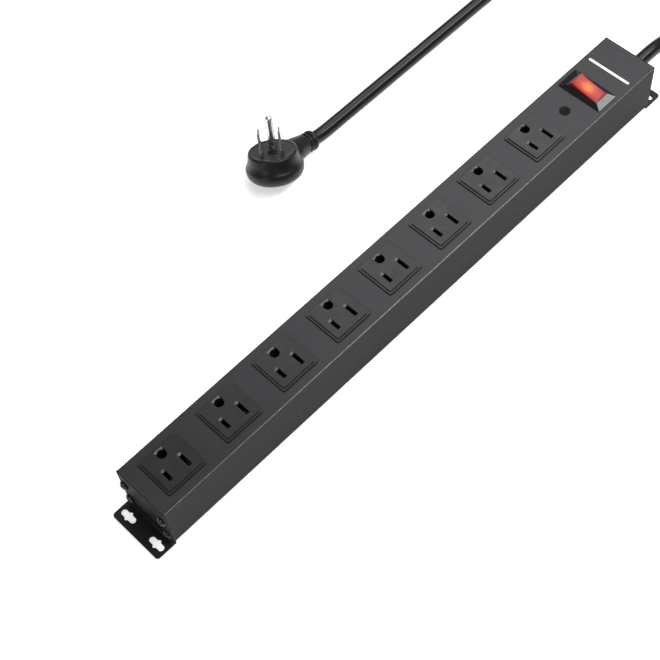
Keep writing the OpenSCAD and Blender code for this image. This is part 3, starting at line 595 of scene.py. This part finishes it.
def plug_neck(bm):
    """Neck: wide at the body, round at its end, with two grip grooves and a rolled edge."""
    start = 6
    step = 0.25
    edge_r = 1.3
    groove_depth = 1.3
    groove_width = 0.7
    rings = []
    for i in range(int((NECK_LEN - start) / step) + 1):
        x = start + step * i
        t = min(max((x - 13) / 15, 0), 1)
        ease = t * t * (3 - 2 * t)
        dent = 0.0
        for back in (7.0, 4.0):
            dent += groove_depth * math.exp(-((x - NECK_LEN + back) / groove_width) ** 2)
        over = max(0.0, x - NECK_LEN + edge_r)
        dent += edge_r - math.sqrt(max(edge_r ** 2 - over ** 2, 0.0))
        wide = 9.6 - 2.8 * ease - dent
        tall = 7.9 - 1.2 * ease - dent
        rings.append([
            bm.verts.new(on_plug(x, wide * math.cos(a), tall * math.sin(a)))
            for a in round_angles(64)])
    join_rings(bm, rings)


def build_plug():
    """The body and its neck as one moulding, melted together where they meet."""
    body = add_mesh("plug_moulding", plug_shell, "plug")
    neck = add_mesh("plug_neck_source", plug_neck, "plug")
    union = body.modifiers.new("join", "BOOLEAN")
    union.operation = "UNION"
    union.object = neck
    remesh = body.modifiers.new("melt", "REMESH")
    remesh.mode = "VOXEL"
    remesh.voxel_size = 0.45 * MM
    remesh.use_smooth_shade = True
    relax = body.modifiers.new("relax", "SMOOTH")
    relax.factor = 0.5
    relax.iterations = 4
    bpy.context.view_layer.update()
    solved = body.evaluated_get(bpy.context.evaluated_depsgraph_get())
    result = bpy.data.meshes.new_from_object(solved)
    body.modifiers.clear()
    body.data = result
    bpy.data.objects.remove(neck)
    result.shade_smooth()
    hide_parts("plug_body")


def pill(bm, place, half_len, half_w, low, high):
    """Flat bar with round ends, long along the placing matrix's X axis."""
    outline = []
    for side, start in ((1, -90), (-1, 90)):
        outline += quarter((side * (half_len - half_w), 0), half_w, start, start + 180, 8)
    join_rings(bm, [[bm.verts.new(place @ Vector((x, y, z))) for x, y in outline] for z in (low, high)])


def face_ribs(bm):
    """Three short moulded ribs on the prong face, between the blades and the ground pin."""
    prongs = PLUG @ Matrix.Rotation(PRONG_TURN, 4, "Z")
    for k in range(3):
        across = PRONG_LINE + 1.8 + 2 * k
        place = prongs @ Matrix.Translation(Vector((0, across, PLUG_FACE)) * MM)
        pill(bm, place, 3 * MM, 0.35 * MM, -0.3 * MM, 0.12 * MM)


# ---------------------------------------------------------------- breaker spring

def coil(bm, foot, height, reach, wire, turns):
    """Wire wound upwards round the Z axis, closed at both ends."""
    steps = turns * 24
    path = []
    for i in range(steps + 1):
        a = 2 * math.pi * turns * i / steps
        rise = wire + (height - 2 * wire) * i / steps
        path.append(foot + Vector((reach * math.cos(a), reach * math.sin(a), rise)))
    sweep(bm, path, lambda s: wire, 10)


def build_button_coil():
    """The breaker's spring: a coil wound up from the foot of the CAD spring's box to its top."""
    low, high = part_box("button_spring")
    wire = 0.3 * MM
    turns = 5
    foot = Vector(((low.x + high.x) / 2, (low.y + high.y) / 2, low.z))
    reach = (high.y - low.y) / 2 - wire
    spring = add_mesh(
        "button_coil", lambda bm: coil(bm, foot, high.z - low.z, reach, wire, turns), "spring_steel", None)
    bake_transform(spring)
    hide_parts("button_spring")


# ---------------------------------------------------------------- printed mark

def white_bar(bm):
    """A plain bar across the strip, between the switch and the cord end."""
    casing_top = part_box("upper_extrusion")[1].z
    switch_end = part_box("switch_housing")[1].x
    x = (switch_end + far_x) / 2 - 4 * MM
    lift = 0.03 * MM
    place = Matrix.Translation((x, 0, casing_top)) @ Matrix.Rotation(math.radians(90), 4, "Z")
    pill(bm, place, 15.5 * MM, 0.9 * MM, -lift, lift)


def print_mark():
    """Prints the bar in white ink, which is not one of the record's finishes."""
    mark = add_mesh("white_bar", white_bar, "insulator")
    mark.data.materials[0] = white_ink("white_ink")


# ---------------------------------------------------------------- stage

# strengths: even light from all round, and the floor's own glow, which makes it near white
WORLD_LIGHT = 0.3
FLOOR_GLOW = 0.5
FLOOR_HALF = 40.0
FLOOR_GAP = 0.05 * MM


def pale_floor(name):
    """Near-white paper with a glow of its own."""
    s = Shader(name)
    tone = s.mix(s.noise(6, 2), grey(0.9), grey(0.93))
    normal = s.bump(s.noise(400, 2), 0.05 * MM, 0.2)
    return s.finish(tone, 0.85, normal,
        Specular_IOR_Level=0.1, Emission_Color=grey(1), Emission_Strength=FLOOR_GLOW)


def add_light(name, location, target, size, power):
    """Rectangular white light at location, facing target."""
    light = bpy.data.lights.new(name, "AREA")
    light.shape = "RECTANGLE"
    light.size, light.size_y = size
    light.energy = power
    lamp = bpy.data.objects.new(name, light)
    lamp.location = location
    lamp.rotation_mode = "QUATERNION"
    lamp.rotation_quaternion = (Vector(target) - Vector(location)).to_track_quat("-Z", "Y")
    bpy.context.scene.collection.objects.link(lamp)


def build_floor():
    """A large floor just under the object."""
    height = cad_box[0].z - FLOOR_GAP
    signs = ((-1, -1), (1, -1), (1, 1), (-1, 1))
    corners = [(FLOOR_HALF * x, FLOOR_HALF * y, height) for x, y in signs]
    mesh = bpy.data.meshes.new("floor")
    mesh.from_pydata(corners, [], [(0, 1, 2, 3)])
    mesh.materials.append(pale_floor("floor_paper"))
    floor = bpy.data.objects.new("floor", mesh)
    bpy.context.scene.collection.objects.link(floor)


def build_world():
    """Even dim light from all round, which looks as pale as the far floor to the camera."""
    world = bpy.data.worlds.new("studio")
    world.use_nodes = True
    tree = world.node_tree
    background = tree.nodes["Background"]
    background.inputs["Color"].default_value = (1, 1, 1, 1)
    seen = tree.nodes.new("ShaderNodeLightPath").outputs["Is Camera Ray"]
    strength = tree.nodes.new("ShaderNodeMapRange")
    tree.links.new(seen, strength.inputs["Value"])
    strength.inputs["To Min"].default_value = WORLD_LIGHT
    strength.inputs["To Max"].default_value = FLOOR_GLOW + WORLD_LIGHT
    tree.links.new(strength.outputs["Result"], background.inputs["Strength"])
    bpy.context.scene.world = world


def build_lights():
    """A soft light above, a long one that the top's long edge mirrors, a small one for the near end."""
    add_light("softbox_above", (0.66, 0.44, 1.0), (0.1, 0, 0), (1.1, 0.6), 7)
    add_light("strip_left", (0.5, -0.36, 0.97), (0.5, 0, 0), (1.3, 0.24), 12)
    add_light("kicker_near_end", (-1.1, 0.05, 0.47), (-0.2, 0, 0), (0.15, 0.15), 1.4)
    bpy.context.scene.view_settings.view_transform = "Standard"


CAMERA_PLACE = (-0.3095, -0.31536, 0.69798)
CAMERA_RIGHT = (0.70398, -0.70654, -0.0722)
CAMERA_FORWARD = (0.31842, 0.40486, -0.85714)
CAMERA_LENS = 75.51         # on a sensor 36 mm wide


def build_camera():
    """Camera at the viewing angle of the product picture."""
    data = bpy.data.cameras.new("camera")
    data.sensor_width = 36
    data.lens = CAMERA_LENS
    data.clip_start = 0.01
    data.clip_end = 20
    camera = bpy.data.objects.new("camera", data)
    right = Vector(CAMERA_RIGHT).normalized()
    forward = Vector(CAMERA_FORWARD).normalized()
    turn = Matrix((right, right.cross(forward), -forward)).transposed()
    camera.matrix_world = Matrix.Translation(CAMERA_PLACE) @ turn.to_4x4()
    bpy.context.scene.collection.objects.link(camera)
    bpy.context.scene.camera = camera


# ---------------------------------------------------------------- build

dress_cad_nodes()
for i in range(1, 9):
    soften(f"outlet_{i}", 0.22 * MM)
soften("switch_rocker", 0.35 * MM, 3)
soften("switch_housing", 0.18 * MM)
soften("near_end_bracket", 0.15 * MM)
soften("far_end_bracket", 0.15 * MM)
soften("upper_extrusion", 0.12 * MM)
cord = add_mesh("cord_jacket", build_cord, "cord")
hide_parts("power_cord")
build_plug()
add_mesh("plug_face_ribs", face_ribs, "plug")
build_button_coil()
print_mark()
build_floor()
build_world()
build_lights()
build_camera()
